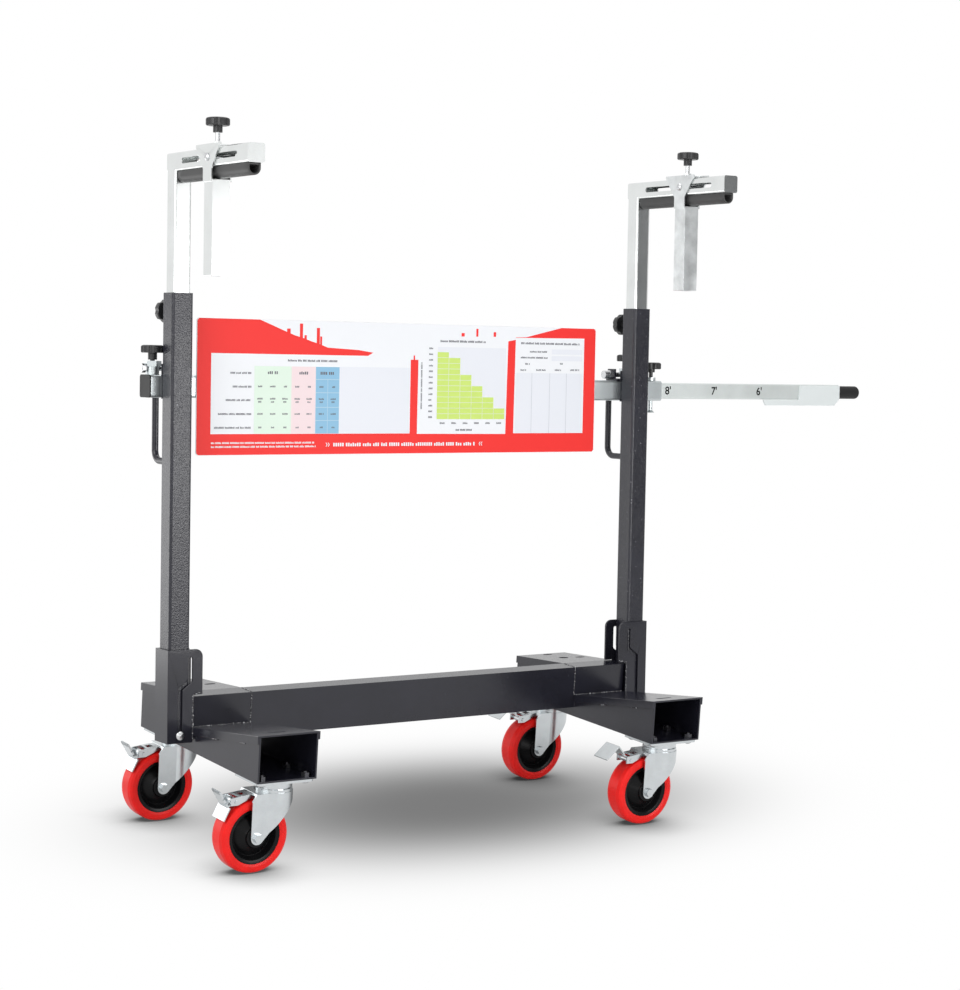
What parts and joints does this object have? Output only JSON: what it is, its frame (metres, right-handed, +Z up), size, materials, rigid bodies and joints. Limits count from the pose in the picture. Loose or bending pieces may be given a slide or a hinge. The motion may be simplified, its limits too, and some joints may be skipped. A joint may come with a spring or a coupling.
{
  "type": "drywall cart",
  "caption": "Wheeled cart that carries plasterboard sheets on edge, with leaning posts, height-adjustable clamp hooks, a sliding end stop and braked swivel castors.",
  "frame": {"origin": "floor level, under the middle of the whole cart's bounding box", "axes": "+X along the cart towards the grip, -Y the loading side, +Z up"},
  "size_m": [2.1175, 0.56, 1.5882],
  "materials": {
    "coat": "dark grey coarse powder coat",
    "zinc": "bright zinc plate",
    "rail": "satin zinc plate",
    "castor": "bright zinc plate on pressed steel",
    "bolt": "zinc plated",
    "stop": "pale smooth coat",
    "tyre": "glossy red polyurethane",
    "core": "black moulded nylon",
    "knob": "black moulded",
    "pad": "black rubber extrusion",
    "grip": "black rubber",
    "panel": "white sheet with a printed face"
  },
  "bodies": {
    "base": {"spine": "coat", "cross_left": "coat", "cross_right": "coat", "deck_near_left": "coat", "deck_near_right": "coat", "deck_far_left": "coat", "deck_far_right": "coat", "socket_left": "coat", "socket_right": "coat", "castor_plates": "castor", "castor_bolts": "bolt"},
    "upper": {"post_left": "coat", "post_right": "coat", "pivot_bolts": "bolt", "rail": "rail", "rail_cap": "grip", "bracket_left": "coat", "bracket_right": "coat", "rail_pins": "bolt", "panel": "panel", "grab_left": "coat", "grab_right": "coat"},
    "mast_left": {"mast_left": "zinc", "cap_left": "zinc", "pad_left": "pad"},
    "mast_screw_left": {"mast_knob_left": "knob"},
    "clamp_left": {"carriage_left": "zinc", "carriage_bolt_left": "bolt"},
    "clamp_screw_left": {"clamp_knob_left": "knob"},
    "rail_screw_left": {"rail_knob_left": "knob"},
    "mast_right": {"mast_right": "zinc", "cap_right": "zinc", "pad_right": "pad"},
    "mast_screw_right": {"mast_knob_right": "knob"},
    "clamp_right": {"carriage_right": "zinc", "carriage_bolt_right": "bolt"},
    "clamp_screw_right": {"clamp_knob_right": "knob"},
    "rail_screw_right": {"rail_knob_right": "knob"},
    "handle": {"bar": "rail", "stop": "stop", "grip": "grip"},
    "bar_screw": {"bar_knob": "knob"},
    "swivel_nl": {"fork_nl": "castor"},
    "wheel_nl": {"core_nl": "core", "tyre_nl": "tyre"},
    "brake_nl": {"pedal_nl": "castor"},
    "swivel_nr": {"fork_nr": "castor"},
    "wheel_nr": {"core_nr": "core", "tyre_nr": "tyre"},
    "brake_nr": {"pedal_nr": "castor"},
    "swivel_fl": {"fork_fl": "castor"},
    "wheel_fl": {"core_fl": "core", "tyre_fl": "tyre"},
    "brake_fl": {"pedal_fl": "castor"},
    "swivel_fr": {"fork_fr": "castor"},
    "wheel_fr": {"core_fr": "core", "tyre_fr": "tyre"},
    "brake_fr": {"pedal_fr": "castor"}
  },
  "joints": [
    {"name": "frame_lift", "type": "slide", "parent": "base", "child": "upper", "axis": [0, 0.0732, 0.9973], "range_m": [0, 0.095]},
    {"name": "mast_slide_left", "type": "slide", "parent": "upper", "child": "mast_left", "axis": [0, 0.0732, 0.9973], "range_m": [-0.23, 0.25]},
    {"name": "mast_knob_turn_left", "type": "hinge", "parent": "upper", "child": "mast_screw_left", "pos_m": [-1.003, 0.14231, 1.16067], "axis": [0, 0.9973, -0.0732], "continuous": true},
    {"name": "clamp_slide_left", "type": "slide", "parent": "mast_left", "child": "clamp_left", "axis": [0, 0.9973, -0.0732], "range_m": [-0.1175, 0.1195]},
    {"name": "clamp_knob_turn_left", "type": "hinge", "parent": "clamp_left", "child": "clamp_screw_left", "pos_m": [-1.003, -0.03684, 1.5338], "axis": [0, 0.0732, 0.9973], "continuous": true},
    {"name": "rail_knob_turn_left", "type": "hinge", "parent": "upper", "child": "rail_screw_left", "pos_m": [-1.036, 0.15926, 1.05013], "axis": [0, 0.0732, 0.9973], "continuous": true},
    {"name": "mast_slide_right", "type": "slide", "parent": "upper", "child": "mast_right", "axis": [0, 0.0732, 0.9973], "range_m": [-0.23, 0.25]},
    {"name": "mast_knob_turn_right", "type": "hinge", "parent": "upper", "child": "mast_screw_right", "pos_m": [0.255, 0.14231, 1.16067], "axis": [0, 0.9973, -0.0732], "continuous": true},
    {"name": "clamp_slide_right", "type": "slide", "parent": "mast_right", "child": "clamp_right", "axis": [0, 0.9973, -0.0732], "range_m": [-0.1075, 0.1295]},
    {"name": "clamp_knob_turn_right", "type": "hinge", "parent": "clamp_right", "child": "clamp_screw_right", "pos_m": [0.255, -0.04615, 1.5435], "axis": [0, 0.0732, 0.9973], "continuous": true},
    {"name": "rail_knob_turn_right", "type": "hinge", "parent": "upper", "child": "rail_screw_right", "pos_m": [0.271, 0.15926, 1.05013], "axis": [0, 0.0732, 0.9973], "continuous": true},
    {"name": "bar_slide", "type": "slide", "parent": "upper", "child": "handle", "axis": [1, 0, 0], "range_m": [-0.335, 0.3]},
    {"name": "bar_knob_turn", "type": "hinge", "parent": "upper", "child": "bar_screw", "pos_m": [0.348, 0.1578, 1.03019], "axis": [0, 0.0732, 0.9973], "continuous": true},
    {"name": "swivel_turn_nl", "type": "hinge", "parent": "base", "child": "swivel_nl", "pos_m": [-0.897, -0.222, 0.178], "axis": [0, 0, 1], "continuous": true},
    {"name": "wheel_spin_nl", "type": "hinge", "parent": "swivel_nl", "child": "wheel_nl", "pos_m": [-0.949, -0.222, 0.08], "axis": [0, 1, 0], "continuous": true},
    {"name": "brake_press_nl", "type": "hinge", "parent": "swivel_nl", "child": "brake_nl", "pos_m": [-0.995, -0.222, 0.158], "axis": [0, 1, 0], "range_deg": [0, 20]},
    {"name": "swivel_turn_nr", "type": "hinge", "parent": "base", "child": "swivel_nr", "pos_m": [0.149, -0.222, 0.178], "axis": [0, 0, 1], "continuous": true},
    {"name": "wheel_spin_nr", "type": "hinge", "parent": "swivel_nr", "child": "wheel_nr", "pos_m": [0.097, -0.222, 0.08], "axis": [0, 1, 0], "continuous": true},
    {"name": "brake_press_nr", "type": "hinge", "parent": "swivel_nr", "child": "brake_nr", "pos_m": [0.051, -0.222, 0.158], "axis": [0, 1, 0], "range_deg": [-20, 0]},
    {"name": "swivel_turn_fl", "type": "hinge", "parent": "base", "child": "swivel_fl", "pos_m": [-0.897, 0.222, 0.178], "axis": [0, 0, 1], "continuous": true},
    {"name": "wheel_spin_fl", "type": "hinge", "parent": "swivel_fl", "child": "wheel_fl", "pos_m": [-0.949, 0.222, 0.08], "axis": [0, 1, 0], "continuous": true},
    {"name": "brake_press_fl", "type": "hinge", "parent": "swivel_fl", "child": "brake_fl", "pos_m": [-0.995, 0.222, 0.158], "axis": [0, 1, 0], "range_deg": [0, 20]},
    {"name": "swivel_turn_fr", "type": "hinge", "parent": "base", "child": "swivel_fr", "pos_m": [0.149, 0.222, 0.178], "axis": [0, 0, 1], "continuous": true},
    {"name": "wheel_spin_fr", "type": "hinge", "parent": "swivel_fr", "child": "wheel_fr", "pos_m": [0.097, 0.222, 0.08], "axis": [0, 1, 0], "continuous": true},
    {"name": "brake_press_fr", "type": "hinge", "parent": "swivel_fr", "child": "brake_fr", "pos_m": [0.051, 0.222, 0.158], "axis": [0, 1, 0], "range_deg": [-20, 0]}
  ]
}
